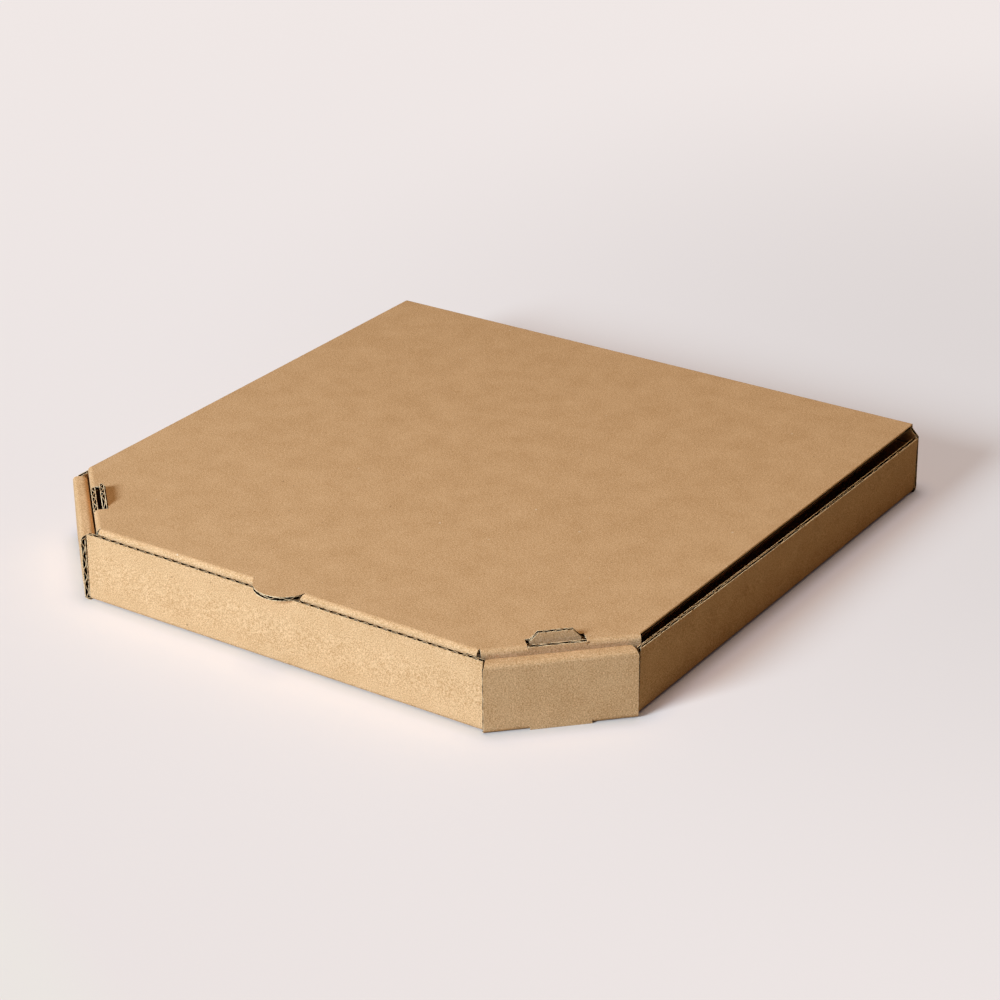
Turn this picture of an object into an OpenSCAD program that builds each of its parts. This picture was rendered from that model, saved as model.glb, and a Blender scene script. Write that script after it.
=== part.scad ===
// Pizza box folded from one blank of corrugated board: a tray with rolled double front corners, and a tuck lid
// that turns on the crease along the top of the back wall. The origin is on the table under the middle of the floor.

/* [Board] */
// Thickness of the corrugated board
board_t = 2.7; // [2:0.1:3.5]
// Inside radius of a crease
crease_r = 0.3; // [0.2:0.1:0.8]
// Air between layers that are folded onto each other
layer_gap = 0.2; // [0.1:0.05:0.4]

/* [Tray] */
// Width over the side walls
box_w = 386; // [300:1:480]
// Depth from the front wall to the back wall
box_d = 386; // [300:1:480]
// Length that each clipped front corner takes off the front wall and off the side wall
corner_clip = 58.2; // [50:0.1:75]
// Height of the front wall
front_h = 41; // [32:0.5:60]
// How much lower than the front wall a side wall starts
side_drop = 1.4; // [0.5:0.1:4]
// How much a side wall's top edge falls towards the back
side_fall = 3.5; // [0:0.1:4]
// How far the top of the front wall leans in
front_lean = 1; // [0:0.1:2]
// How far the tops of the side walls lean out
side_lean = 1; // [0:0.1:2]
// How far the top of the back wall leans in
back_lean = 1.2; // [0:0.1:2]

/* [Rolled corners] */
// How much lower than the front wall the outer crease of a rolled corner is
roll_drop = 0.6; // [0.2:0.1:2]
// Rise of the flat strip on top of a rolled corner, from its outer to its inner crease
roll_rise = 1; // [0:0.1:2]
// How much shorter each end of the strip is at its inner crease
roll_taper = 3.7; // [1:0.1:8]
// Length of the floor slot that holds the tab of the inner panel
floor_slot_l = 33; // [20:1:50]
// Play of that tab at each end of its slot
floor_slot_play = 0.5; // [0.2:0.1:1.5]
// Length of the ears inside the rolled corners
corner_ear_l = 19; // [10:1:22]
// How far the ears of the tray stay below the top of the front wall
ear_drop = 8; // [6:0.5:14]
// Length of the side walls' ears inside the back wall
back_ear_l = 70; // [30:1:120]

/* [Lid] */
// Gap between the top of the front wall and the underside of the lid
lid_rest = 0.3; // [0.2:0.1:1]
// Gap between a side flap of the lid and the foot of the side wall
lid_side_gap = 0.3; // [0.3:0.1:2]
// Gap between the front flap of the lid and the foot of the front wall
lid_front_gap = 1.5; // [1.3:0.1:3]
// Gap between a corner flap of the lid and the rolled corner
lid_corner_gap = 0.8; // [0.6:0.1:2]
// Height above the table that the low edges of upright tuck flaps would have
flap_low = 11; // [9:0.5:16]
// Degrees by which the front and corner flaps lean in
flap_lean = 4; // [3.5:0.1:6]
// Degrees by which the side flaps lean in
side_flap_lean = 40; // [0:1:50]
// Set-back of each side flap from the lid's corners
side_flap_setback = 6; // [4:0.5:20]
// Slit between the lid and the back wall at the hinge crease
hinge_gap = 0.3; // [0.3:0.1:0.6]

/* [Thumb tab] */
// Width of the thumb tab where it leaves the lid
thumb_w = 34; // [24:1:50]
// How far the thumb tab reaches past the front fold of the lid
thumb_reach = 10; // [6:0.5:14]
// Offset of the thumb tab from the middle
thumb_x = -1.5; // [-20:0.5:20]
// Width of the cut around the thumb tab
thumb_cut = 0.5; // [0.3:0.1:1]

/* [Lock tabs] */
// Length of the slot in each corner of the lid
lock_slot_l = 31.5; // [20:0.5:45]
// Play behind the lock tab in its slot
lock_slot_play = 0.4; // [0.2:0.1:1.5]
// Width of a lock tab at the lid
lock_base_w = 27; // [14:0.5:40]
// Width of a lock tab at its top
lock_top_w = 18.5; // [8:0.5:36]
// How far a lock tab stands above the lid
lock_rise = 4.6; // [2:0.1:8]
// Gap between a corner flap of the lid and the ear behind it
lock_gap = 2.6; // [2:0.1:4]
// Length of that ear past the middle of the corner
lock_ear_l = 18; // [16:0.5:24]

/* [Hidden] */
$fn = 64;

kraft = "#c9a06c";
// Outside radius of a crease, and how far a panel runs into what it is folded from
bend_r = board_t + crease_r;
root = 2;
// How far the end of an ear stays inside the outside face of the wall that it is folded from
ear_inset = 1;
// A length that reaches past everything it cuts
past = 20;
half_w = box_w / 2;
half_d = box_d / 2;
// Angle by which the clipped corners turn
corner_turn = 45;

// Places along the diagonal of a front corner: its direction points out at 45 degrees, through the box's middle
diag = sqrt(2);
corner_half = corner_clip / diag;
ear_out = (half_w + half_d - corner_clip) / diag;
roll_out = ear_out + layer_gap + board_t;
roll_in = ear_out - 2 * board_t - layer_gap;
corner_shift = (half_w - half_d) / diag;

// Heights that follow the front wall
side_front_h = front_h - side_drop;
side_back_h = side_front_h - side_fall;
roll_h = front_h - roll_drop;
ear_h = front_h - ear_drop;
lid_h = front_h + lid_rest + board_t;
flap_h = lid_h - flap_low;

front_angle = asin(front_lean / front_h);
side_angle = asin(side_lean / side_front_h);
back_wall_h = lid_h - board_t - hinge_gap;
back_angle = asin(back_lean / back_wall_h);
side_front_y = -half_d + corner_clip;
side_back_y = half_d - board_t - layer_gap - back_lean;

// The lid's outer faces, its hinge axis and the panel between its creases
lid_half_w = half_w - board_t - lid_side_gap;
lid_front_y = -(half_d - board_t - lid_front_gap);
lid_corner = roll_in - lid_corner_gap;
hinge_y = half_d - back_lean - board_t / 2;
hinge_z = lid_h - board_t / 2;
panel_x = lid_half_w - bend_r;
panel_front_y = lid_front_y + bend_r;
panel_corner = lid_corner - bend_r;
panel_corner_x = panel_corner * diag + panel_front_y;
panel_corner_y = panel_x - panel_corner * diag;
flap_leg = flap_h - bend_r;
// Degrees by which the ends of a side flap are cut back towards its low edge
flap_end_slant = 14;
// Length of the lid's corner crease, and the place of its middle along the corner
panel_corner_l = (panel_x - panel_corner_x) * diag;
panel_corner_mid = along_corner((panel_x + panel_corner_x) / 2, (panel_front_y + panel_corner_y) / 2);
lock_out = lid_corner - board_t - lock_gap;
lock_corner_x = lock_out * diag + lid_front_y;
thumb_depth = thumb_reach + bend_r;
thumb_r = (thumb_w * thumb_w / 4 + thumb_depth * thumb_depth) / (2 * thumb_depth);

// Place of a point along the right front corner, from the corner's middle
function along_corner(x, y) = (x + y) / diag - corner_shift;

// Section of one crease: the board comes in along +x with its outside face on y = 0 and turns to the left
module crease(angle)
    translate([0, bend_r])
        intersection() {
            difference() {
                circle(r = bend_r);
                circle(r = crease_r);
            }
            translate([0, -past]) square([past, 2 * past]);
            rotate(angle) translate([-past, -past]) square([past, 2 * past]);
        }

// Section of a folded strip of board: each step is the length of a flat panel and the angle of the crease after it
module folded(steps, i = 0) {
    length = steps[i][0];
    angle = steps[i][1];
    square([length, board_t]);
    if (angle > 0)
        translate([length, 0]) crease(angle);
    if (i + 1 < len(steps))
        translate([length, bend_r]) rotate(angle) translate([0, -bend_r]) folded(steps, i + 1);
}

// A folded strip with its creases along y, its first panel on the floor and its outside facing +x.
// The first crease starts at x = 0.
module folded_up(length, steps)
    translate([-root, length / 2, 0])
        rotate([90, 0, 0])
            linear_extrude(length)
                folded(concat([[root, steps[0]]], steps[1]));

// The same strip hanging from the lid
module folded_down(length, steps)
    translate([0, 0, lid_h]) mirror([0, 0, 1]) folded_up(length, steps);

// Puts its children at both sides of the box
module both_sides() {
    children();
    mirror([1, 0, 0]) children();
}

// Turns x to the outward diagonal of the right front corner, and y along that corner towards the side wall
module at_corner(out)
    rotate(-corner_turn) translate([out, corner_shift, 0]) children();

// Tray: outline of the floor, which runs halfway into the roots of its walls
module floor_outline() {
    edge = bend_r + root / 2;
    difference() {
        square([box_w - 2 * edge, box_d - 2 * edge], center = true);
        both_sides()
            at_corner(roll_out - edge)
                translate([0, -box_w]) square([box_w, 2 * box_w]);
    }
}

module front_wall()
    translate([0, -half_d + bend_r, 0])
        rotate(-90)
            folded_up(box_w - 2 * corner_clip, [90 + front_angle, [[front_h - bend_r, 0]]]);

module back_wall()
    translate([0, half_d - bend_r, 0])
        rotate(90)
            folded_up(box_w, [90 + back_angle, [[back_wall_h - bend_r, 0]]]);

// The side wall's top edge falls towards the back
module side_wall() {
    length = side_back_y - side_front_y;
    fall = atan((side_front_h - side_back_h) / length);
    difference() {
        translate([half_w - bend_r, (side_front_y + side_back_y) / 2, 0])
            folded_up(length, [90 - side_angle, [[side_front_h, 0]]]);
        translate([half_w - past, side_front_y, side_front_h])
            rotate([-fall, 0, 0])
                translate([0, -past, 0]) cube([2 * past, length + 2 * past, 2 * past]);
    }
}

// The side wall's ear, folded in along the back wall
module back_ear()
    translate([half_w - ear_inset - back_ear_l, side_back_y - layer_gap - board_t, bend_r])
        cube([back_ear_l, board_t, ear_h - bend_r]);

// The ears of the front wall and of the side wall, folded in behind the outer panel of a rolled corner
module corner_ears()
    at_corner(ear_out - board_t)
        for (end = [0, 1])
            mirror([0, end, 0])
                translate([0, corner_half - ear_inset - corner_ear_l, bend_r])
                    cube([board_t, corner_ear_l, ear_h - bend_r]);

// The double corner: the outer panel stands on its floor crease, and the strip on top carries the inner panel, whose
// tab goes down into the floor slot. The slot is cut at the crease, so the outer panel has a straight foot there.
module rolled_corner() {
    tilt = asin(roll_rise / (roll_out - roll_in));
    outer_leg = roll_h - 2 * bend_r;
    strip_leg = roll_out - roll_in - 2 * bend_r;
    inner_leg = roll_h + roll_rise - bend_r - board_t - layer_gap;
    strip_half = corner_half - roll_taper;
    at_corner(roll_out - bend_r)
        difference() {
            union() {
                folded_up(2 * corner_half, [90, [[outer_leg, 90 - tilt], [strip_leg, 0]]]);
                intersection() {
                    folded_up(2 * strip_half, [90, [[outer_leg, 90 - tilt], [strip_leg, 90 + tilt], [inner_leg, 0]]]);
                    translate([roll_in - roll_out, -corner_half, board_t + layer_gap])
                        cube([roll_out, 2 * corner_half, 2 * roll_h]);
                }
            }
            for (end = [-1, 1])
                strip_end(end, strip_half);
            translate([-past, -floor_slot_l / 2, -past])
                cube([past + crease_r, floor_slot_l, past + board_t + layer_gap]);
        }
    at_corner(roll_out - board_t)
        translate([0, -floor_slot_l / 2, 0]) cube([board_t, floor_slot_l, 2 * bend_r]);
    at_corner(roll_in)
        translate([0, floor_slot_play - floor_slot_l / 2, layer_gap])
            cube([board_t, floor_slot_l - 2 * floor_slot_play, 2 * bend_r]);
}

// What is cut off an end of the strip, so that it narrows towards the inner crease
module strip_end(end, strip_half)
    translate([bend_r, end * corner_half, roll_h - bend_r])
        mirror([0, end < 0 ? 1 : 0, 0])
            linear_extrude(past)
                polygon([[0, 0], [roll_in - roll_out, strip_half - corner_half], [roll_in - roll_out, past], [0, past]]);

module floor_slots()
    both_sides()
        at_corner(roll_in - layer_gap)
            translate([0, -floor_slot_l / 2, -past])
                cube([roll_out - board_t - roll_in + layer_gap, floor_slot_l, past + bend_r]);

module tray()
    color(kraft) {
        difference() {
            linear_extrude(board_t) floor_outline();
            floor_slots();
        }
        front_wall();
        back_wall();
        both_sides() {
            side_wall();
            back_ear();
            corner_ears();
            rolled_corner();
        }
    }

// Lid: the flat panel, from the hinge axis to the creases of the flaps
module lid_panel()
    translate([0, 0, lid_h - board_t])
        linear_extrude(board_t)
            polygon([
                [-panel_x, hinge_y], [-panel_x, panel_corner_y], [-panel_corner_x, panel_front_y],
                [panel_corner_x, panel_front_y], [panel_x, panel_corner_y], [panel_x, hinge_y]]);

// The rounded back edge, which stands for the crease and turns on the hinge axis
module hinge_edge()
    translate([0, hinge_y, hinge_z])
        rotate([0, 90, 0]) cylinder(d = board_t, h = 2 * panel_x, center = true);

// Half-moon outline of the thumb tab, from the crease line out along -y
module thumb_outline(margin = 0)
    intersection() {
        translate([0, thumb_r - thumb_depth]) circle(r = thumb_r + margin);
        translate([-past - thumb_w, -2 * thumb_r]) square([2 * (past + thumb_w), 2 * thumb_r]);
    }

module thumb_tab()
    translate([thumb_x, panel_front_y, lid_h - board_t]) {
        linear_extrude(board_t) thumb_outline();
        translate([-thumb_w / 2, 0, 0]) cube([thumb_w, root, board_t]);
    }

// Front tuck flap, with the half-moon hole that the thumb tab was cut from
module front_flap()
    difference() {
        translate([0, panel_front_y, 0])
            rotate(-90)
                folded_down(2 * lock_corner_x, [90 + flap_lean, [[flap_leg, 0]]]);
        translate([thumb_x - thumb_w / 2 - thumb_cut, lid_front_y - past, lid_h - bend_r])
            cube([thumb_w + 2 * thumb_cut, past + bend_r, past]);
        translate([thumb_x, panel_front_y, lid_h - crease_r])
            rotate([90, 0, 0])
                linear_extrude(2 * past, center = true) thumb_outline(thumb_cut);
    }

// Side tuck flap: the fold runs to the back edge, and the flap stops short of the tray's back ears
module side_flap() {
    back_end = side_back_y - board_t - side_flap_setback;
    fold_end = hinge_y - bend_r;
    front_end = panel_corner_y;
    flap_front = front_end + side_flap_setback;
    flap_l = back_end - flap_front;
    translate([panel_x, (fold_end + front_end) / 2, 0])
        folded_down(fold_end - front_end, [90, []]);
    translate([panel_x, (back_end + flap_front) / 2, 0])
        difference() {
            folded_down(flap_l, [90 + side_flap_lean, [[flap_leg, 0]]]);
            for (end = [0, 1])
                mirror([0, end, 0])
                    translate([-box_w, -flap_l / 2, lid_h - 3 * bend_r])
                        rotate([flap_end_slant, 0, 0])
                            translate([0, -past, -flap_h]) cube([2 * box_w, past, 2 * flap_h]);
        }
}

// Corner tuck flap. Its crease is cut away at the lock slot, where the flap's raw edge stands level with the lid.
module corner_flap() {
    difference() {
        at_corner(panel_corner)
            translate([0, panel_corner_mid, 0])
                folded_down(panel_corner_l, [90 + flap_lean, [[flap_leg, 0]]]);
        lock_slot();
    }
    at_corner(panel_corner)
        translate([0, 0, lid_h - bend_r])
            rotate([0, flap_lean, 0])
                translate([crease_r, -lock_slot_l / 2, -bend_r])
                    cube([board_t, lock_slot_l, 2 * bend_r - crease_r]);
}

module lock_slot()
    at_corner(lock_out - board_t - lock_slot_play)
        translate([0, -lock_slot_l / 2, lid_h - bend_r])
            cube([lid_corner + bend_r - lock_out + board_t + lock_slot_play, lock_slot_l, past]);

// The front flap's ear behind a corner flap, with the lock tab that stands up through the lid
module lock_ear() {
    ear_start = along_corner(lock_corner_x, lid_front_y) + ear_inset;
    ear_low = lid_h - flap_h + root;
    ear_top = lid_h - board_t - layer_gap;
    tab_top = lid_h + lock_rise;
    at_corner(lock_out)
        translate([0, 0, lid_h - bend_r])
            rotate([0, flap_lean, 0])
                translate([-board_t, 0, bend_r - lid_h])
                    rotate([90, 0, 90])
                        linear_extrude(board_t)
                            polygon([
                                [ear_start, ear_low], [lock_ear_l, ear_low], [lock_ear_l, ear_top],
                                [lock_base_w / 2, ear_top], [lock_base_w / 2, lid_h], [lock_top_w / 2, tab_top],
                                [-lock_top_w / 2, tab_top], [-lock_base_w / 2, lid_h], [-lock_base_w / 2, ear_top],
                                [ear_start, ear_top]]);
}

module lid()
    color(kraft) {
        difference() {
            lid_panel();
            both_sides() lock_slot();
        }
        hinge_edge();
        front_flap();
        thumb_tab();
        both_sides() {
            side_flap();
            corner_flap();
            lock_ear();
        }
    }

tray();
lid();
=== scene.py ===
"""Pizza box of brown corrugated board: tray and lid as folded board with liners and flutes, and the stage."""
import math
import random
from types import SimpleNamespace

import bmesh
import bpy
from mathutils import Matrix, Vector


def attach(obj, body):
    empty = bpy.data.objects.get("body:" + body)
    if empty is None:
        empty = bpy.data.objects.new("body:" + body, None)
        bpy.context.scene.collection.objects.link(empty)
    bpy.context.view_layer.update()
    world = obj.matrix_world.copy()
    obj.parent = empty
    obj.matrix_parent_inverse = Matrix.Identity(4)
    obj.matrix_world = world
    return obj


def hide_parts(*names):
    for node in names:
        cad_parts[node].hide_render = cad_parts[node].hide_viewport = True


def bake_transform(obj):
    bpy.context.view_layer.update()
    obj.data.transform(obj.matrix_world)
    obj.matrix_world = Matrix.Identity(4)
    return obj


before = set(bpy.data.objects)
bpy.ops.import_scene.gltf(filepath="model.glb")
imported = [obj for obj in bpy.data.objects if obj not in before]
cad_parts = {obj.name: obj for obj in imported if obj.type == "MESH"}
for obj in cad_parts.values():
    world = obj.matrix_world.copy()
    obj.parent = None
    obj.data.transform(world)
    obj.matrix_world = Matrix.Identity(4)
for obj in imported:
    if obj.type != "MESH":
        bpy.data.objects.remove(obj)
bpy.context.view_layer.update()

bl_info = {
    "name": "Pizza box",
    "version": (1, 0, 0),
    "blender": (4, 5, 0),
    "location": "3D View > Sidebar > Pizza Box",
    "description": "Folds a pizza box of corrugated board around its solid model",
    "category": "Object",
}

MM = 0.001
QUARTER = math.pi / 2
X_AXIS = Vector((1, 0, 0))
Y_AXIS = Vector((0, 1, 0))
UP = Vector((0, 0, 1))
# Out of the right front corner, and along that corner towards the side wall
CORNER_OUT = Vector((1, -1, 0)).normalized()
CORNER_ALONG = Vector((1, 1, 0)).normalized()

# Edges of a cut outline: folded on into the next panel, or cut
JOINED = False
CUT = True
# Material slots of the board's mesh; the last is painted shade, on the liners' faces towards the flutes
OUTSIDE, INSIDE, EDGE, HOLLOW = range(4)
# Directions across the flutes, in a panel's own u and v
ACROSS_U = (1.0, 0.0)
ACROSS_V = (0.0, 1.0)
ACROSS_CORNER = (math.sqrt(0.5), math.sqrt(0.5))

BEND_STEP = math.radians(12)
CRUSH_LENGTH = 3 * MM
# How far the flutes stop short of a cut edge, as a share of their modelled depth
FLUTE_RECESS = 0.07
# Shortest cut edge that shows flutes, and how straight along or across the flutes a line counts as
SHORTEST_BAND = 0.9 * MM
SLANT_LIMIT = 0.5
# Sine of the turn below which an outline counts as straight on
STRAIGHT_TURN = 0.05
ARC_PARTS = 28
# Middle of the painted soft shadow on the floor, behind the box on the right
PAINTED_SHADOW_PLACE = Vector((0.35, 0.5, 0))
# How far the flutes sway, in flutes: where a cut runs across them, and where it runs along them and tears
CROSS_SWAY = 0.14
TORN_SWAY = 0.7
MERGE_DISTANCE = 0.002 * MM
SHARP_ANGLE = math.radians(35)
SEED = 7


def length(name, mm, description):
    """A size in millimetres that a user may change."""
    return bpy.props.FloatProperty(
        name=name, description=description, default=mm * MM, unit="LENGTH", precision=5
    )


def angle(name, degrees, description):
    """An angle in degrees that a user may change."""
    return bpy.props.FloatProperty(
        name=name, description=description, default=math.radians(degrees), unit="ROTATION"
    )


def share(name, value, description):
    """A plain number that a user may change."""
    return bpy.props.FloatProperty(name=name, description=description, default=value, subtype="FACTOR")


def linear(hex_colour):
    """An sRGB hex colour as linear RGB."""
    parts = [int(hex_colour[i : i + 2], 16) / 255 for i in (0, 2, 4)]
    return [p / 12.92 if p <= 0.04045 else ((p + 0.055) / 1.055) ** 2.4 for p in parts]


def colour(name, hex_colour, description):
    """A colour that a user may change."""
    return bpy.props.FloatVectorProperty(
        name=name, description=description, default=linear(hex_colour), size=3, subtype="COLOR", min=0, max=1
    )


class PizzaBoxSizes(bpy.types.PropertyGroup):
    """Sizes of the folded box. Those that the solid model has too are the same there."""

    board_t: length("Board", 2.7, "Thickness of the corrugated board")
    crease_r: length("Crease", 0.3, "Inside radius of a crease")
    layer_gap: length("Layer gap", 0.2, "Air between layers that are folded onto each other")
    liner_t: length("Liner", 0.4, "Thickness of the paper on each face of the board")
    medium_t: length("Fluting paper", 0.5, "Thickness of the wavy paper between the liners")
    flute_pitch: length("Flute pitch", 6.39, "Distance from one flute to the next")
    flute_depth: length("Flute depth", 4, "How far in from a cut edge the flutes are modelled")
    box_w: length("Width", 386, "Width over the side walls")
    box_d: length("Depth", 386, "Depth from the front wall to the back wall")
    corner_clip: length("Corner clip", 58.2, "What each clipped corner takes off the front and side walls")
    front_h: length("Front wall", 41, "Height of the front wall")
    side_drop: length("Side drop", 1.4, "How much lower than the front wall a side wall starts")
    side_fall: length("Side fall", 3.5, "How much a side wall's top edge falls towards the back")
    front_lean: length("Front lean", 1, "How far the top of the front wall leans in")
    side_lean: length("Side lean", 1, "How far the tops of the side walls lean out")
    side_bow: length("Side bow", 1, "How far the middle of a side wall's free top edge bulges out")
    back_lean: length("Back lean", 1.2, "How far the top of the back wall leans in")
    roll_drop: length("Roll drop", 0.6, "Drop of a rolled corner's outer crease below the front wall")
    roll_rise: length("Roll rise", 1, "Rise of the strip on top of a rolled corner")
    roll_taper: length("Roll taper", 3.7, "How much shorter each end of the strip is at its inner crease")
    floor_slot_l: length("Floor slot", 33, "Length of the floor slot that holds the inner panel's tab")
    floor_slot_play: length("Floor slot play", 0.5, "Play of that tab at each end of its slot")
    corner_slit: length("Corner slit", 1.5, "Slit between a side wall and the rolled corner in front of it")
    corner_ear_l: length("Corner ear", 19, "Length of the ears inside the rolled corners")
    ear_drop: length("Ear drop", 8, "How far the ears of the tray stay below the top of the front wall")
    ear_inset: length("Ear inset", 1, "How far an ear's end stays inside the wall that it is folded from")
    back_ear_l: length("Back ear", 70, "Length of the side walls' ears inside the back wall")
    lid_rest: length("Lid rest", 0.3, "Gap between the front wall and the underside of the lid")
    lid_side_gap: length("Lid side gap", 0.3, "Gap between a side flap and the foot of the side wall")
    lid_front_gap: length("Lid front gap", 1.5, "Gap between the front flap and the foot of the front wall")
    lid_corner_gap: length("Lid corner gap", 0.8, "Gap between a corner flap and the rolled corner")
    flap_low: length("Flap foot", 11, "Height of the low edges of the tuck flaps above the table")
    flap_lean: angle("Flap lean", 4, "Angle by which the front and corner flaps lean in")
    side_flap_lean: angle("Side flap lean", 40, "Angle by which the side flaps lean in")
    flap_end_slant: angle("Flap end slant", 14, "Angle by which the ends of a side flap are cut back")
    side_flap_setback: length("Side flap set-back", 6, "Set-back of each side flap from the lid's corners")
    side_fold_r: length("Side fold", 0.6, "Outside radius of the lid's crushed side folds")
    side_fold_in: length("Side fold inset", 1.4, "How far inside the lid's side edges those folds start")
    side_fold_gap: length("Side fold gap", 1, "How far a side fold of the lid stops short of the hinge axis")
    hinge_gap: length("Hinge gap", 0.3, "Slit between the lid and the back wall at the hinge crease")
    thumb_w: length("Thumb tab", 34, "Width of the thumb tab where it leaves the lid")
    thumb_reach: length("Thumb reach", 10, "How far the thumb tab reaches past the lid's front fold")
    thumb_x: length("Thumb offset", -1.5, "Offset of the thumb tab from the middle")
    thumb_cut: length("Thumb cut", 0.5, "Width of the cut around the thumb tab")
    lock_slot_l: length("Lock slot", 31.5, "Length of the slot in each corner of the lid")
    lock_slot_play: length("Lock slot play", 0.4, "Play behind the lock tab in its slot")
    lock_base_w: length("Lock tab base", 27, "Width of a lock tab at the lid")
    lock_top_w: length("Lock tab top", 18.5, "Width of a lock tab at its top")
    lock_rise: length("Lock tab rise", 4.6, "How far a lock tab stands above the lid")
    lock_gap: length("Lock gap", 2.6, "Gap between a corner flap of the lid and the ear behind it")
    lock_ear_l: length("Lock ear", 18, "Length of that ear past the middle of the corner")
    cut_step: length("Cut step", 1.6, "Distance between the points along a cut edge")
    cut_wander: length("Cut wander", 0.09, "How far a cut edge wanders from its line")


class PizzaBoxFinish(bpy.types.PropertyGroup):
    """Colours of the board and of the stage."""

    kraft_light: colour("Light kraft", "e5bc8d", "Pale fibres of the outer liner")
    kraft_dark: colour("Dark kraft", "ae814f", "Dark fibres of the outer liner")
    inside_light: colour("Light inside", "dcb58a", "Pale fibres of the inner liner")
    inside_dark: colour("Dark inside", "ac8155", "Dark fibres of the inner liner")
    fleck_pale: colour("Pale fleck", "e8d3b4", "Bleached fibres in the recycled pulp")
    fleck_dark: colour("Dark fleck", "7d5a38", "Bark and ink specks in the recycled pulp")
    edge_pale: colour("Cut edge", "f1d3a6", "Torn white fibres along a cut edge")
    # Painted shade for the hollows between the torn fibres of a cut edge, mixed in at random
    painted_edge_shade: colour("Cut edge shade", "8a6238", "Hollows between the torn fibres")
    # Painted shade: a near-black colour that stands for the shade inside the flutes
    painted_flute_shade: colour("Flute shade", "140b05", "Inside of the flutes, which no light reaches")
    floor: colour("Floor", "ded7cb", "Paper sweep under the box")
    floor_bounce: colour("Floor bounce", "c8b79c", "The sweep, as it lights the box from below")
    floor_seen: colour("Floor to the camera", "f0e8e6", "The evenly lit sweep that the camera sees")


class PizzaBoxStage(bpy.types.PropertyGroup):
    """Camera and lights."""

    camera_place: bpy.props.FloatVectorProperty(
        name="Camera place", description="Where the camera stands", default=(0.82806, -1.19376, 0.71780),
        size=3, subtype="TRANSLATION", unit="LENGTH", precision=5
    )
    camera_azimuth: angle("Camera azimuth", 34.2309, "Turn of the camera to the right of the front")
    camera_elevation: angle("Camera elevation", 25.6497, "Angle by which the camera looks down")
    camera_roll: angle("Camera roll", -0.544, "Turn of the camera about its own axis")
    camera_lens: bpy.props.FloatProperty(
        name="Lens", description="Focal length on a 36 mm sensor", default=97.896, unit="CAMERA"
    )
    key_azimuth: angle("Key azimuth", -13, "Turn of the main light to the right of the front")
    key_elevation: angle("Key elevation", 25, "Height of the main light above the table, as an angle")
    key_distance: length("Key distance", 2400, "Distance of the main light from the box")
    key_size: length("Key size", 800, "Width of the main light")
    key_level: share("Key level", 1.55, "Brightness of a white card that faces the main light")
    key_colour: colour("Key colour", "d2e7ff", "Tint of the main light")
    sky_level: share("Sky level", 0.06, "Brightness of a white card under the even light alone")
    sky_colour: colour("Sky colour", "ffe2bc", "Tint of the even light")
    top_height: length("Top height", 1900, "Height of the soft light above the box")
    top_size: length("Top size", 1200, "Width of the light above the box")
    top_level: share("Top level", 0.44, "Brightness of a white card that faces the light above")
    top_colour: colour("Top colour", "ffe2bc", "Tint of the light above the box")


def shape_of(sizes):
    """The sizes as plain numbers, with the places that follow from them."""
    s = SimpleNamespace(**{name: getattr(sizes, name) for name in PizzaBoxSizes.__annotations__})
    diag = math.sqrt(2)
    s.bend_r = s.board_t + s.crease_r
    s.half_w = s.box_w / 2
    s.half_d = s.box_d / 2
    s.corner_half = s.corner_clip / diag
    s.ear_out = (s.half_w + s.half_d - s.corner_clip) / diag
    s.roll_out = s.ear_out + s.layer_gap + s.board_t
    s.roll_in = s.ear_out - 2 * s.board_t - s.layer_gap
    s.side_front_h = s.front_h - s.side_drop
    s.side_back_h = s.side_front_h - s.side_fall
    s.roll_h = s.front_h - s.roll_drop
    s.ear_h = s.front_h - s.ear_drop
    s.lid_h = s.front_h + s.lid_rest + s.board_t
    s.front_angle = math.asin(s.front_lean / s.front_h)
    s.side_angle = math.asin(s.side_lean / s.side_front_h)
    s.back_wall_h = s.lid_h - s.board_t - s.hinge_gap
    s.back_angle = math.asin(s.back_lean / s.back_wall_h)
    s.front_x = s.half_w - s.corner_clip
    s.crease_x = s.half_w - s.bend_r
    s.crease_y = s.half_d - s.bend_r
    s.side_front_y = s.corner_clip - s.half_d
    s.side_back_y = s.half_d - s.board_t - s.layer_gap - s.back_lean
    s.lid_half_w = s.half_w - s.board_t - s.lid_side_gap
    s.lid_front_y = -(s.half_d - s.board_t - s.lid_front_gap)
    s.lid_corner = s.roll_in - s.lid_corner_gap
    s.hinge_y = s.half_d - s.back_lean - s.board_t / 2
    s.hinge_z = s.lid_h - s.board_t / 2
    s.panel_x = s.lid_half_w - s.side_fold_in
    s.panel_front_y = s.lid_front_y + s.bend_r
    s.panel_corner = s.lid_corner - s.bend_r
    s.panel_corner_x = s.panel_corner * diag + s.panel_front_y
    s.panel_corner_y = s.panel_x - s.panel_corner * diag
    s.flap_leg = s.lid_h - s.flap_low - s.bend_r
    s.lock_out = s.lid_corner - s.board_t - s.lock_gap
    s.lock_corner_x = s.lock_out * diag + s.lid_front_y
    s.thumb_depth = s.thumb_reach + s.bend_r
    s.thumb_r = arc_radius(s.thumb_w / 2, s.thumb_depth)
    s.side_fold_end = s.hinge_y - s.side_fold_gap
    return s


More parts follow.
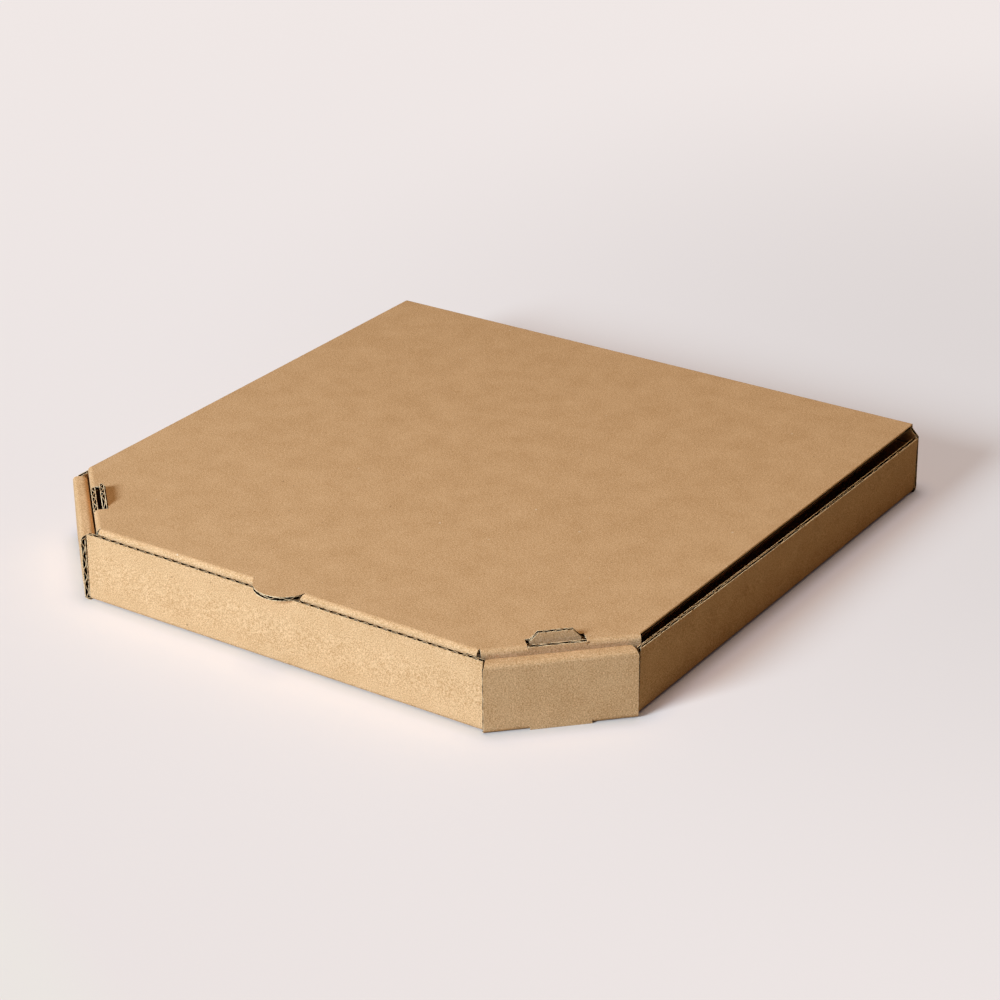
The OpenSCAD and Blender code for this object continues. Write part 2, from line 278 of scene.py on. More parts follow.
class Panel:
    """A panel of board, or a run of panels with creases between them, and its place in the folded box.

    u runs across the creases, v along them and w through the board from its outside face.
    """

    def __init__(self, shape, origin, out, turn, steps=((0, 0),), across=ACROSS_V, mirrored=False,
                 radius=None, bulge=None):
        self.shape = shape
        self.radius = radius or shape.bend_r
        self.bulge = bulge
        self.origin = origin
        self.out = out
        self.turn = turn
        self.along = turn.cross(out)
        self.steps = steps
        self.across = across
        self.mirrored = mirrored

    def section(self, u):
        """The outside face's place in the section, and its heading, at u."""
        radius = self.radius
        a = b = heading = 0.0
        for run, bend in self.steps[:-1]:
            if u <= run:
                break
            u -= run
            a += run * math.cos(heading)
            b += run * math.sin(heading)
            turned = min(bend, u / radius)
            a += radius * (math.sin(heading + turned) - math.sin(heading))
            b += radius * (math.cos(heading) - math.cos(heading + turned))
            heading += turned
            u -= turned * radius
            if turned < bend:
                break
        return a + u * math.cos(heading), b + u * math.sin(heading), heading

    def point(self, u, v, w):
        """The place in the box of a point of the panel."""
        a, b, heading = self.section(u)
        w *= self.squeeze(u)
        a -= w * math.sin(heading)
        b += w * math.cos(heading)
        place = self.origin + a * self.out + b * self.turn + v * self.along
        if self.bulge:
            place += self.bulge(u, v) * self.out
        return left_side(place) if self.mirrored else place

    def squeeze(self, u):
        """Share of the board's thickness that is left at u, where a tight fold crushes the board."""
        left = self.radius / self.shape.board_t
        if left >= 1:
            return 1.0
        bend_end = self.crease_end(1)
        if u < bend_end:
            return 1 - (1 - left) * u / bend_end
        return min(1.0, left + (1 - left) * (u - bend_end) / CRUSH_LENGTH)

    def inward(self, u):
        """The direction from the outside face to the inside face at u."""
        heading = self.section(u)[2]
        way = math.cos(heading) * self.turn - math.sin(heading) * self.out
        return left_side(way) if self.mirrored else way

    def crease_end(self, count):
        """u where the crease with that number, counted from 1, ends."""
        return sum(run + bend * self.radius for run, bend in self.steps[:count])

    def bend_lines(self):
        """Every u at which the panel's mesh is divided so that its creases are round."""
        lines = []
        start = 0.0
        for run, bend in self.steps[:-1]:
            start += run
            parts = max(1, math.ceil(bend / BEND_STEP))
            lines += [start + self.radius * bend * i / parts for i in range(parts + 1)]
            start += self.radius * bend
        if self.radius < self.shape.board_t:
            lines.append(start + CRUSH_LENGTH)
        return lines

    def tongue(self, u):
        """The flat panel that runs straight back from the end of a crease at u."""
        a, b, heading = self.section(u)
        ahead = math.cos(heading) * self.out + math.sin(heading) * self.turn
        inward = math.cos(heading) * self.turn - math.sin(heading) * self.out
        origin = self.origin + a * self.out + b * self.turn
        return Panel(self.shape, origin, -ahead, inward, across=self.across, mirrored=self.mirrored)

    def flat(self, point):
        """u and v of a place in plan on a panel that lies flat."""
        return (point - self.origin).dot(self.out), (point - self.origin).dot(self.along)


def box_outline(u_end, v_start, v_end, joined_start=True):
    """Outline of a plain panel, cut on three sides and folded from another panel at u = 0."""
    first = JOINED if joined_start else CUT
    return [((0, v_end), first), ((0, v_start), CUT), ((u_end, v_start), CUT), ((u_end, v_end), CUT)]


def counter_clockwise(outline):
    """The outline in the sense that keeps the panel on its left."""
    points = [Vector(p) for p, _ in outline]
    count = len(points)
    area = sum(points[i].cross(points[(i + 1) % count]) for i in range(count))
    if area > 0:
        return [(points[i], outline[i][1]) for i in range(count)]
    return [(points[-i], outline[-i - 1][1]) for i in range(count)]


class Board:
    """The liners of one body's board as one mesh, and the bands along its cut edges that carry the flutes."""

    def __init__(self, shape):
        self.shape = shape
        self.dice = random.Random(SEED)
        self.points = []
        self.faces = []
        self.slots = []
        self.band_points = []
        self.band_faces = []
        self.band_inward = []
        self.band_phase = []
        self.band_inset = []
        self.band_sway = []

    def add(self, panel, outline, flute_depth=None):
        """Adds a panel: two liners with the flutes between them along its cut edges."""
        shape = self.shape
        outline = counter_clockwise(outline)
        self.add_liner(panel, outline, 0, shape.liner_t, OUTSIDE, HOLLOW)
        self.add_liner(panel, outline, shape.board_t - shape.liner_t, shape.board_t, HOLLOW, INSIDE)
        self.add_bands(panel, outline, flute_depth or shape.flute_depth)

    def cut_line(self, outline):
        """The outline with points along its cut edges, each a little off the line, and its edges."""
        found = []
        for i, (start, edge) in enumerate(outline):
            end = outline[(i + 1) % len(outline)][0]
            found.append((start, edge))
            parts = math.floor((end - start).length / self.shape.cut_step)
            if edge == JOINED or parts < 3:
                continue
            side = Vector((start.y - end.y, end.x - start.x)).normalized()
            for k in range(1, parts):
                wander = side * self.dice.uniform(0, self.shape.cut_wander)
                found.append((start.lerp(end, k / parts) + wander, edge))
        return found

    def add_liner(self, panel, outline, w_out, w_in, out_slot, in_slot):
        """Adds one paper of the board as a thin closed sheet, open only where it folds on into a panel."""
        flat = bmesh.new()
        line = self.cut_line(outline)
        corners = [flat.verts.new((p.x, p.y, 0)) for p, _ in line]
        flat.faces.new(corners)
        for i, (_, edge) in enumerate(line):
            flat.edges.get((corners[i], corners[(i + 1) % len(corners)])).seam = edge
        flat.normal_update()
        for u in panel.bend_lines():
            everything = flat.verts[:] + flat.edges[:] + flat.faces[:]
            bmesh.ops.bisect_plane(flat, geom=everything, dist=1e-7, plane_co=(u, 0, 0), plane_no=(1, 0, 0))
        flat.normal_update()
        bmesh.ops.triangulate(flat, faces=flat.faces[:])
        flat.normal_update()
        flat.verts.index_update()
        first = len(self.points)
        count = len(flat.verts)
        for w in (w_out, w_in):
            self.points += [panel.point(v.co.x, v.co.y, w) for v in flat.verts]
        for face in flat.faces:
            ring = [first + v.index for v in face.verts]
            if face.normal.z < 0:
                ring.reverse()
            self.add_face(panel, [i + count for i in ring], in_slot)
            self.add_face(panel, ring[::-1], out_slot)
        for edge in flat.edges:
            if edge.seam and len(edge.link_loops) == 1:
                loop = edge.link_loops[0]
                a, b = loop.vert.index, loop.link_loop_next.vert.index
                if loop.face.normal.z < 0:
                    a, b = b, a
                self.add_face(panel, [first + i for i in (a, b, b + count, a + count)], EDGE)
        flat.free()

    def add_face(self, panel, ring, slot):
        """Adds a face, turned round on a mirrored panel."""
        self.faces.append(ring[::-1] if panel.mirrored else ring)
        self.slots.append(slot)

    def add_bands(self, panel, outline, depth):
        """Adds a flat band halfway through the board along each cut edge that shows flutes."""
        count = len(outline)
        for i, (start, edge) in enumerate(outline):
            end = outline[(i + 1) % count][0]
            if edge == JOINED or (end - start).length < SHORTEST_BAND:
                continue
            before, before_edge = outline[i - 1]
            after = outline[(i + 2) % count][0]
            after_edge = outline[(i + 1) % count][1]
            inner_start = inset_corner(before, start, end, before_edge, CUT, depth)
            inner_end = inset_corner(start, end, after, CUT, after_edge, depth)
            self.add_band(panel, start, end, inner_start, inner_end)

    def add_band(self, panel, start, end, inner_start, inner_end):
        """Adds one band as a grid that is fine across the flutes and coarse along them."""
        across = Vector(panel.across)
        way = (end - start).normalized()
        fine = self.shape.flute_pitch / 10
        columns = band_steps((end - start).length, abs(way.dot(across)), fine)
        rows = band_steps((inner_start - start).length, abs(way.cross(across)), fine)
        sway = CROSS_SWAY if abs(way.dot(across)) > SLANT_LIMIT else TORN_SWAY
        middle = (self.shape.board_t - self.shape.medium_t) / 2
        first = len(self.band_points)
        for row in range(rows + 1):
            for column in range(columns + 1):
                outer = start.lerp(end, column / columns)
                reach = FLUTE_RECESS + (1 - FLUTE_RECESS) * row / rows
                spot = outer.lerp(inner_start.lerp(inner_end, column / columns), reach)
                self.band_points.append(panel.point(spot.x, spot.y, middle))
                self.band_inward.append(panel.inward(spot.x))
                self.band_phase.append(spot.dot(across) / self.shape.flute_pitch)
                self.band_inset.append(row / rows)
                self.band_sway.append(sway)
        for row in range(rows):
            for column in range(columns):
                corner = first + row * (columns + 1) + column
                ring = [corner, corner + 1, corner + columns + 2, corner + columns + 1]
                self.band_faces.append(ring[::-1] if panel.mirrored else ring)


def band_steps(span, slant, fine):
    """Number of steps along a line: close where it runs across the flutes, few where it runs along them."""
    coarse = 2.5 * fine
    return max(2, math.ceil(span / (fine if slant > SLANT_LIMIT else coarse)))


def inset_corner(before, here, after, before_edge, after_edge, depth):
    """The corner of an outline, moved in by depth from each of its two edges that is cut."""
    first = (here - before).normalized()
    second = (after - here).normalized()
    turn = first.cross(second)
    if abs(turn) < STRAIGHT_TURN:
        return here + depth * Vector((-second.y, second.x))
    shift_first = depth if before_edge == CUT else 0.0
    shift_second = depth if after_edge == CUT else 0.0
    return here + (second * shift_first - first * shift_second) / turn


def arc_radius(half_width, depth):
    """Radius of the arc that is that deep over that half of its width."""
    return (half_width**2 + depth**2) / (2 * depth)


def circle_arc(centre, radius, start, end):
    """Points along an arc between two angles, without its ends."""
    turns = [start + (end - start) * i / ARC_PARTS for i in range(1, ARC_PARTS)]
    return [
        Vector((centre.x + radius * math.cos(a), centre.y + radius * math.sin(a), centre.z)) for a in turns]


def corner_spot(out, along, z=0.0):
    """A place given by its distance out of the right front corner and along it."""
    return out * CORNER_OUT + along * CORNER_ALONG + Vector((0, 0, z))


def left_side(place):
    """A place's mirror image on the left half of the box."""
    return Vector((-place.x, place.y, place.z))


def far_side(spot):
    """A panel's spot on the other side of v = 0."""
    return spot[0], -spot[1]


def with_mirror(half, flip):
    """Half an outline with its mirror image added on the way back. It closes with a joined edge."""
    other = []
    for i in range(len(half) - 1, -1, -1):
        point, _ = half[i]
        other.append((flip(point), half[i - 1][1] if i else JOINED))
    return half + other


def fold_tray(shape):
    """The tray's board: its floor and what is folded up from it."""
    s = shape
    board = Board(s)
    floor = Panel(s, Vector(), X_AXIS, UP)
    slot_half = s.floor_slot_l / 2
    corner_crease = s.roll_out - s.bend_r
    slot_in = s.roll_in - s.layer_gap
    right_half = [
        (Vector((s.front_x, -s.crease_y, 0)), CUT),
        (corner_spot(corner_crease, -s.corner_half), JOINED),
        (corner_spot(corner_crease, -slot_half), CUT),
        (corner_spot(slot_in, -slot_half), CUT),
        (corner_spot(slot_in, slot_half), CUT),
        (corner_spot(corner_crease, slot_half), JOINED),
        (corner_spot(corner_crease, s.corner_half), CUT),
        (Vector((s.crease_x, s.side_front_y, 0)), JOINED),
        (Vector((s.crease_x, s.side_back_y, 0)), CUT),
        (Vector((s.crease_x, s.crease_y, 0)), CUT),
        (Vector((s.half_w, s.crease_y, 0)), JOINED),
    ]
    outline = [(floor.flat(p), edge) for p, edge in with_mirror(right_half, left_side)]
    board.add(floor, outline, flute_depth=3 * MM)

    front_steps = ((0, QUARTER + s.front_angle), (s.front_h - s.bend_r, 0))
    front = Panel(s, Vector((0, -s.crease_y, 0)), -Y_AXIS, UP, front_steps)
    board.add(front, box_outline(front.crease_end(1) + s.front_h - s.bend_r, -s.front_x, s.front_x))

    back_steps = ((0, QUARTER + s.back_angle), (s.back_wall_h - s.bend_r, 0))
    back = Panel(s, Vector((0, s.crease_y, 0)), Y_AXIS, UP, back_steps)
    top_u = back.crease_end(1) + s.back_wall_h - s.bend_r
    end_u = top_u - s.back_wall_h + s.side_back_h
    board.add(back, [
        ((0, s.half_w), JOINED), ((0, -s.half_w), CUT), ((end_u, -s.half_w), CUT), ((top_u, -s.panel_x), CUT),
        ((top_u, s.panel_x), CUT), ((end_u, s.half_w), CUT)])

    for mirrored in (False, True):
        add_side_wall(board, s, mirrored)
        add_ears(board, s, mirrored)
        add_rolled_corner(board, s, mirrored)
    return board


def add_side_wall(board, s, mirrored):
    """A side wall, whose top edge falls towards the back, with its ear along the back wall."""
    bend = QUARTER - s.side_angle
    middle_y = (s.side_front_y + s.side_back_y) / 2
    half_l = (s.side_back_y - s.side_front_y) / 2

    def bulge(u, v):
        """How far the wall bulges out, most at the middle of its top edge, not at its crease and ends."""
        up = max(0.0, u - bend * s.bend_r) / s.front_h
        return s.side_bow * up * (1 - ((v - middle_y) / half_l) ** 2)

    steps = ((0, bend), (s.front_h, 0))
    wall = Panel(s, Vector((s.crease_x, 0, 0)), X_AXIS, UP, steps, ACROSS_U, mirrored, bulge=bulge)
    foot = s.bend_r * (1 - math.sin(s.side_angle))
    front_u, back_u = (
        wall.crease_end(1) + (h - foot) / math.cos(s.side_angle) for h in (s.side_front_h, s.side_back_h)
    )
    board.add(wall, [
        ((0, s.side_back_y), JOINED), ((0, s.side_front_y), CUT), ((wall.crease_end(1), s.side_front_y), CUT),
        ((wall.crease_end(1), s.side_front_y + s.corner_slit), CUT),
        ((front_u, s.side_front_y + s.corner_slit), CUT), ((back_u, s.side_back_y), CUT)])
    ear_end = s.half_w - s.ear_inset
    ear = Panel(
        s, Vector((0, s.side_back_y - s.layer_gap, s.bend_r)), UP, -Y_AXIS, across=ACROSS_U, mirrored=mirrored
    )
    board.add(ear, box_outline(s.ear_h - s.bend_r, -ear_end, s.back_ear_l - ear_end, joined_start=False))


def add_ears(board, s, mirrored):
    """The ears of the front wall and of the side wall behind the outer panel of a rolled corner."""
    ear_end = s.corner_half - s.ear_inset
    ear_start = ear_end - s.corner_ear_l
    for sign, across in ((1, ACROSS_U), (-1, ACROSS_V)):
        ear = Panel(
            s, corner_spot(s.ear_out, 0, s.bend_r), UP, -CORNER_OUT, across=across, mirrored=mirrored
        )
        board.add(ear, box_outline(s.ear_h - s.bend_r, sign * ear_start, sign * ear_end, joined_start=False))


def add_rolled_corner(board, s, mirrored):
    """The double corner: outer panel with its straight foot, strip, and inner panel with its tab."""
    depth = s.roll_out - s.roll_in
    tilt = math.asin(s.roll_rise / depth)
    steps = (
        (0, QUARTER),
        (s.roll_h - 2 * s.bend_r, QUARTER - tilt),
        (depth - 2 * s.bend_r, QUARTER + tilt),
        (0, 0),
    )
    roll = Panel(s, corner_spot(s.roll_out - s.bend_r, 0), CORNER_OUT, UP, steps, ACROSS_CORNER, mirrored)
    slot_half = s.floor_slot_l / 2
    tab_half = slot_half - s.floor_slot_play
    strip_half = s.corner_half - s.roll_taper
    foot = roll.crease_end(1)
    strip_start = foot + steps[1][0]
    strip_end = roll.crease_end(3)
    tab_start = strip_end + roll.section(strip_end)[1] - s.board_t - s.layer_gap
    half = [
        ((foot, slot_half), CUT), ((0, slot_half), JOINED), ((0, s.corner_half), CUT),
        ((strip_start, s.corner_half), CUT), ((strip_end, strip_half), CUT), ((tab_start, strip_half), CUT),
        ((tab_start, tab_half), CUT), ((tab_start + s.board_t, tab_half), CUT)]
    board.add(roll, with_mirror(half, far_side))
    board.add(roll.tongue(foot), box_outline(s.bend_r, -slot_half, slot_half), flute_depth=2 * MM)


def fold_lid(shape):
    """The lid's board: its panel and what is folded down from it."""
    s = shape
    board = Board(s)

    def at(x, y):
        """A place on top of the lid."""
        return Vector((x, y, s.lid_h))

    panel = Panel(s, at(0, 0), X_AXIS, -UP)
    slot_half = s.lock_slot_l / 2
    slot_in = s.lock_out - s.board_t - s.lock_slot_play
    half = [
        (at(s.panel_corner_x, s.panel_front_y), JOINED),
        (corner_spot(s.panel_corner, -slot_half, s.lid_h), CUT),
        (corner_spot(slot_in, -slot_half, s.lid_h), CUT),
        (corner_spot(slot_in, slot_half, s.lid_h), CUT),
        (corner_spot(s.panel_corner, slot_half, s.lid_h), JOINED),
        (at(s.panel_x, s.panel_corner_y), JOINED),
        (at(s.panel_x, s.side_fold_end), CUT),
        (at(s.panel_x, s.hinge_y), JOINED),
    ]
    outline = with_mirror(half, left_side)
    thumb_half = s.thumb_w / 2
    thumb_centre = at(s.thumb_x, s.panel_front_y + s.thumb_r - s.thumb_depth)
    thumb_turn = math.asin(thumb_half / s.thumb_r)
    thumb_arc = circle_arc(thumb_centre, s.thumb_r, -QUARTER + thumb_turn, -QUARTER - thumb_turn)
    thumb = [
        (at(s.thumb_x - thumb_half - s.thumb_cut, s.panel_front_y), CUT),
        (at(s.thumb_x - thumb_half, s.panel_front_y), CUT)]
    thumb += [(point, CUT) for point in reversed(thumb_arc)]
    thumb += [
        (at(s.thumb_x + thumb_half, s.panel_front_y), CUT),
        (at(s.thumb_x + thumb_half + s.thumb_cut, s.panel_front_y), JOINED)]
    board.add(panel, [(panel.flat(p), edge) for p, edge in outline + thumb])
    add_front_flap(board, s)
    for mirrored in (False, True):
        add_side_flap(board, s, mirrored)
        add_corner_flap(board, s, mirrored)
        add_lock_ear(board, s, mirrored)
    return board


def add_front_flap(board, s):
    """The front tuck flap, with the half-moon hole that the thumb tab was cut from."""
    steps = ((0, QUARTER + s.flap_lean), (s.flap_leg, 0))
    flap = Panel(s, Vector((0, s.panel_front_y, s.lid_h)), -Y_AXIS, -UP, steps)
    end_u = flap.crease_end(1) + s.flap_leg
    middle = -s.thumb_x
    hole_half = s.thumb_w / 2 + s.thumb_cut
    hole_depth = s.thumb_depth + s.thumb_cut
    hole_r = arc_radius(hole_half, hole_depth)
    hole_turn = math.asin(hole_half / hole_r)
    hole = circle_arc(Vector((hole_depth - hole_r, middle, 0)), hole_r, hole_turn, -hole_turn)
    quarter_u = s.bend_r * QUARTER
    fold_x = s.panel_corner_x
    flap_x = s.lock_corner_x
    outline = [((0, fold_x), JOINED), ((0, middle + hole_half), CUT)]
    outline += [((p.x, p.y), CUT) for p in hole]
    outline += [
        ((0, middle - hole_half), JOINED), ((0, -fold_x), CUT), ((quarter_u, -fold_x), CUT),
        ((quarter_u, -flap_x), CUT), ((end_u, -flap_x), CUT), ((end_u, flap_x), CUT),
        ((quarter_u, flap_x), CUT), ((quarter_u, fold_x), CUT)]
    board.add(flap, outline)


def add_side_flap(board, s, mirrored):
    """A side tuck flap: the fold runs to the back edge, and the flap stops short of the tray's ears."""
    steps = ((0, QUARTER + s.side_flap_lean), (s.flap_leg, 0))
    flap = Panel(
        s, Vector((s.panel_x, 0, s.lid_h)), X_AXIS, -UP, steps, ACROSS_U, mirrored, radius=s.side_fold_r)
    fold_u = flap.crease_end(1)
    end_u = fold_u + s.flap_leg
    back_end = s.side_back_y - s.board_t - s.side_flap_setback
    front_end = s.panel_corner_y + s.side_flap_setback
    quarter_u = s.side_fold_r * QUARTER
    fold_drop = s.side_fold_r * (1 + math.sin(s.side_flap_lean))
    slant_u = fold_u + (3 * s.bend_r - fold_drop) / math.cos(s.side_flap_lean)
    slant = (end_u - slant_u) * math.cos(s.side_flap_lean) * math.tan(s.flap_end_slant)
    board.add(flap, [
        ((0, -s.panel_corner_y), JOINED), ((0, -s.side_fold_end), CUT), ((quarter_u, -s.side_fold_end), CUT),
        ((quarter_u, -back_end), CUT), ((slant_u, -back_end), CUT), ((end_u, slant - back_end), CUT),
        ((end_u, -slant - front_end), CUT), ((slant_u, -front_end), CUT), ((quarter_u, -front_end), CUT),
        ((quarter_u, -s.panel_corner_y), CUT)])


def add_corner_flap(board, s, mirrored):
    """A corner tuck flap. Its crease is cut away at the lock slot, down to a raw edge level with the lid."""
    steps = ((0, QUARTER + s.flap_lean), (s.flap_leg, 0))
    flap = Panel(s, corner_spot(s.panel_corner, 0, s.lid_h), CORNER_OUT, -UP, steps, ACROSS_CORNER, mirrored)
    fold_u = flap.crease_end(1)
    end_u = fold_u + s.flap_leg
    slot_half = s.lock_slot_l / 2
    ends = [
        flap.flat(Vector((x, y, s.lid_h)))[1]
        for x, y in ((s.panel_corner_x, s.panel_front_y), (s.panel_x, s.panel_corner_y))
    ]
    low, high = min(ends), max(ends)
    board.add(flap, [
        ((0, high), JOINED), ((0, slot_half), CUT), ((fold_u, slot_half), JOINED),
        ((fold_u, -slot_half), CUT), ((0, -slot_half), JOINED), ((0, low), CUT), ((end_u, low), CUT),
        ((end_u, high), CUT)])
    raised = s.bend_r - s.crease_r
    board.add(flap.tongue(fold_u), box_outline(raised, -slot_half, slot_half), flute_depth=2 * MM)


def add_lock_ear(board, s, mirrored):
    """The front flap's ear behind a corner flap, with the lock tab that stands up through the lid."""
    up = math.cos(s.flap_lean) * UP + math.sin(s.flap_lean) * CORNER_OUT
    inward = math.sin(s.flap_lean) * UP - math.cos(s.flap_lean) * CORNER_OUT
    pivot = s.lid_h - s.bend_r
    ear = Panel(s, corner_spot(s.lock_out, 0, pivot), up, inward, mirrored=mirrored)
    start = (s.lock_corner_x + s.lid_front_y) * math.sqrt(0.5) + s.ear_inset
    ear_lift = 2 * MM
    low = s.flap_low + ear_lift - pivot
    top = s.bend_r - s.board_t - s.layer_gap
    base_half = s.lock_base_w / 2
    tab_half = s.lock_top_w / 2
    tab_top = s.bend_r + s.lock_rise
    board.add(ear, [
        ((low, start), CUT), ((low, s.lock_ear_l), CUT), ((top, s.lock_ear_l), CUT), ((top, base_half), CUT),
        ((s.bend_r, base_half), CUT), ((tab_top, tab_half), CUT), ((tab_top, -tab_half), CUT),
        ((s.bend_r, -base_half), CUT), ((top, -base_half), CUT), ((top, start), CUT)], flute_depth=2 * MM)


def add_node(tree, kind, inputs=None, **settings):
    """Adds a node with its settings. Each input is a socket to link or a value to set."""
    made = tree.nodes.new(kind)
    for name, value in settings.items():
        setattr(made, name, value)
    for key, value in (inputs or {}).items():
        if isinstance(value, bpy.types.NodeSocket):
            tree.links.new(value, made.inputs[key])
        else:
            made.inputs[key].default_value = value
    return made


def result(tree, kind, inputs=None, output=0, **settings):
    """Adds a node and gives one of its outputs."""
    return add_node(tree, kind, inputs, **settings).outputs[output]


def maths(tree, operation, *values, **settings):
    """The result of a Math node."""
    return result(tree, "ShaderNodeMath", dict(enumerate(values)), operation=operation, **settings)


def vector_maths(tree, operation, *values):
    """The result of a Vector Math node: a number for a length, a distance or a dot product."""
    output = "Value" if operation in ("LENGTH", "DISTANCE", "DOT_PRODUCT") else "Vector"
    return result(tree, "ShaderNodeVectorMath", dict(enumerate(values)), output, operation=operation)


def scaled(tree, vector, factor):
    """A vector times a number."""
    return result(tree, "ShaderNodeVectorMath", {0: vector, "Scale": factor}, operation="SCALE")


def mixed(tree, factor, first, second):
    """A blend from the first colour to the second."""
    return result(tree, "ShaderNodeMix", {0: factor, 6: first, 7: second}, 2, data_type="RGBA")


def ranged(tree, value, low, high, to_low=0.0, to_high=1.0, **settings):
    """A number moved from one range to another."""
    inputs = {"Value": value, "From Min": low, "From Max": high, "To Min": to_low, "To Max": to_high}
    return result(tree, "ShaderNodeMapRange", inputs, **settings)


def noise(tree, place, size, roughness=0.5, detail=2.0):
    """Cloudy noise with features of that size."""
    inputs = {"Vector": place, "Scale": 1 / size, "Detail": detail, "Roughness": roughness}
    return result(tree, "ShaderNodeTexNoise", inputs, "Fac")


def new_material(name):
    """An empty node material, its nodes and the Object coordinates that they read."""
    material = bpy.data.materials.new(name)
    material.use_nodes = True
    tree = material.node_tree
    tree.nodes.clear()
    return material, tree, result(tree, "ShaderNodeTexCoord", output="Object")


def show(tree, surface):
    """Makes a shader the material's surface."""
    add_node(tree, "ShaderNodeOutputMaterial", {"Surface": surface})


def show_paper(tree, skin, roughness, specular, **inputs):
    """Makes paper of that colour the material's surface."""
    inputs.update({"Base Color": skin, "Roughness": roughness, "Specular IOR Level": specular})
    show(tree, result(tree, "ShaderNodeBsdfPrincipled", inputs, "BSDF"))


def rgba(value):
    """A colour with full alpha, as a colour socket takes it."""
    return (*value, 1.0)


def kraft_liner(name, pale, dark, finish):
    """Kraft testliner, pressed and dried in a mill: matt, with cloudy pulp, short fibres and specks."""
    cloud_share = 0.1
    fleck_share = 0.6
    material, tree, place = new_material(name)
    grain = noise(tree, place, size=0.72 * MM, roughness=0.75, detail=3.0)
    cloud = noise(tree, place, size=16 * MM)
    mottle = result(tree, "ShaderNodeMix", {0: cloud_share, 2: grain, 3: cloud}, data_type="FLOAT")
    pulp = mixed(tree, ranged(tree, mottle, low=0.37, high=0.63), rgba(dark), rgba(pale))
    speck = add_node(tree, "ShaderNodeTexVoronoi", {"Vector": place, "Scale": 1 / (9 * MM)})
    pick = add_node(tree, "ShaderNodeSeparateColor", {"Color": speck.outputs["Color"]}).outputs
    reach = ranged(tree, pick[0], low=0.55, high=1.0, to_high=0.075)
    inside = maths(tree, "LESS_THAN", speck.outputs["Distance"], reach)
    is_dark = maths(tree, "GREATER_THAN", pick[1], 0.5)
    fleck = mixed(tree, is_dark, rgba(finish.fleck_pale), rgba(finish.fleck_dark))
    skin = mixed(tree, maths(tree, "MULTIPLY", inside, fleck_share), pulp, fleck)
    relief = result(tree, "ShaderNodeBump", {"Height": grain, "Strength": 0.35, "Distance": 0.06 * MM})
    show_paper(tree, skin, roughness=0.86, specular=0.25, Normal=relief)
    return material


def cut_paper_edge(finish):
    """Die-cut edge of kraft paper: torn pale fibres mottled with painted shade, against the painted shade of
    the flutes.
    """
    material, tree, place = new_material("kraft_cut_edge")
    tear = ranged(tree, noise(tree, place, size=1.6 * MM, roughness=0.6), low=0.34, high=0.52)
    # Torn pale fibres mixed at random with painted shade for the hollows between them
    fibres = mixed(tree, tear, rgba(finish.painted_edge_shade), rgba(finish.edge_pale))
    show_paper(tree, fibres, roughness=0.95, specular=0.1)
    return material


def painted_flute_hollow(finish):
    """Back of a liner inside the board, painted near black as the shade inside the flutes."""
    material, tree, place = new_material("painted_shade_in_the_flutes")
    deep_share = 0.35
    deep = [deep_share * part for part in finish.painted_flute_shade]
    # Both colours are painted shade, one darker than the other at random
    shade = mixed(tree, noise(tree, place, size=2 * MM), rgba(deep), rgba(finish.painted_flute_shade))
    show_paper(tree, shade, roughness=1.0, specular=0.0)
    return material


def fluting_paper(finish):
    """Recycled fluting paper, pale where it is cut and painted into dark shade further in, by its inset
    attribute.
    """
    lit_share = 0.06
    material, tree, place = new_material("fluting_paper")
    inset = result(tree, "ShaderNodeAttribute", output="Fac", attribute_name="inset")
    clumps = noise(tree, place, size=1.2 * MM, roughness=0.6)
    # Pale fibres mixed at random with painted shade for the torn hollows
    fibres = mixed(tree, clumps, rgba(finish.painted_edge_shade), rgba(finish.edge_pale))
    # Painted shade: past a small share of the inset the paper fades to the painted flute shade
    shade = mixed(tree, ranged(tree, inset, low=0.0, high=lit_share), fibres, rgba(finish.painted_flute_shade))
    show_paper(tree, shade, roughness=0.95, specular=0.1)
    return material


def board_materials(finish):
    """The board's materials in the order of its slots, made once for all pieces."""
    names = ("kraft_liner_outside", "kraft_liner_inside", "kraft_cut_edge", "painted_shade_in_the_flutes")
    found = [bpy.data.materials.get(name) for name in names]
    if all(found):
        return found
    return [
        kraft_liner(names[0], finish.kraft_light, finish.kraft_dark, finish),
        kraft_liner(names[1], finish.inside_light, finish.inside_dark, finish),
        cut_paper_edge(finish),
        painted_flute_hollow(finish),
    ]


def linked(name, data):
    """Adds an object with that data to the scene."""
    made = bpy.data.objects.new(name, data)
    bpy.context.scene.collection.objects.link(made)
    return made


def mesh_object(name, points, faces, slots, materials, mend):
    """Adds a mesh with smooth faces and sharp edges to the scene, after mend has been over it."""
    mesh = bpy.data.meshes.new(name)
    mesh.from_pydata(points, [], faces)
    mesh.polygons.foreach_set("material_index", slots)
    for material in materials:
        mesh.materials.append(material)
    bm = bmesh.new()
    bm.from_mesh(mesh)
    mend(bm)
    bm.to_mesh(mesh)
    bm.free()
    mesh.shade_smooth()
    mesh.set_sharp_from_angle(angle=SHARP_ANGLE)
    return linked(name, mesh)


def merge_panels(bm):
    """Merges panels where they fold on into each other."""
    bmesh.ops.remove_doubles(bm, verts=bm.verts[:], dist=MERGE_DISTANCE)


def board_object(name, board, materials):
    """The board's liners as one object."""
    made = mesh_object(name, board.points, board.faces, board.slots, materials, merge_panels)
    weights = made.modifiers.new("flat_panels", "WEIGHTED_NORMAL")
    weights.keep_sharp = True
    weights.weight = 100
    return made


